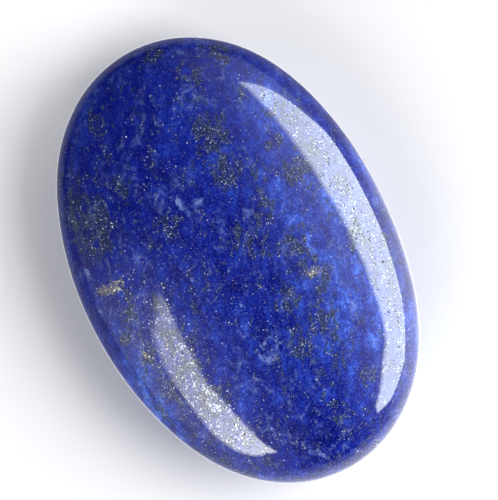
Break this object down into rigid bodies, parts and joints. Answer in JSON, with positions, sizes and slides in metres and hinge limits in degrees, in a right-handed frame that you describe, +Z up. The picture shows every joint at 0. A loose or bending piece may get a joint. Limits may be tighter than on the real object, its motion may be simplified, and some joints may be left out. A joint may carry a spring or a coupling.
{
  "type": "palm stone",
  "caption": "Polished oval palm stone of blue lapis lazuli, domed on both faces, to be held and rubbed in the hand.",
  "frame": {"origin": "middle of the small flat spot on the lower face that the stone rests on", "axes": "+X along the stone's length, +Y across its width, +Z up out of the upper face"},
  "size_m": [0.07, 0.047, 0.02],
  "materials": {
    "polished_lapis": "high polish; deep ultramarine blue with pale gold pyrite flecks, dark grey-green patches and pale calcite dots, blotches and threads"
  },
  "bodies": {
    "root": {"palm_stone": "polished_lapis"}
  },
  "joints": []
}
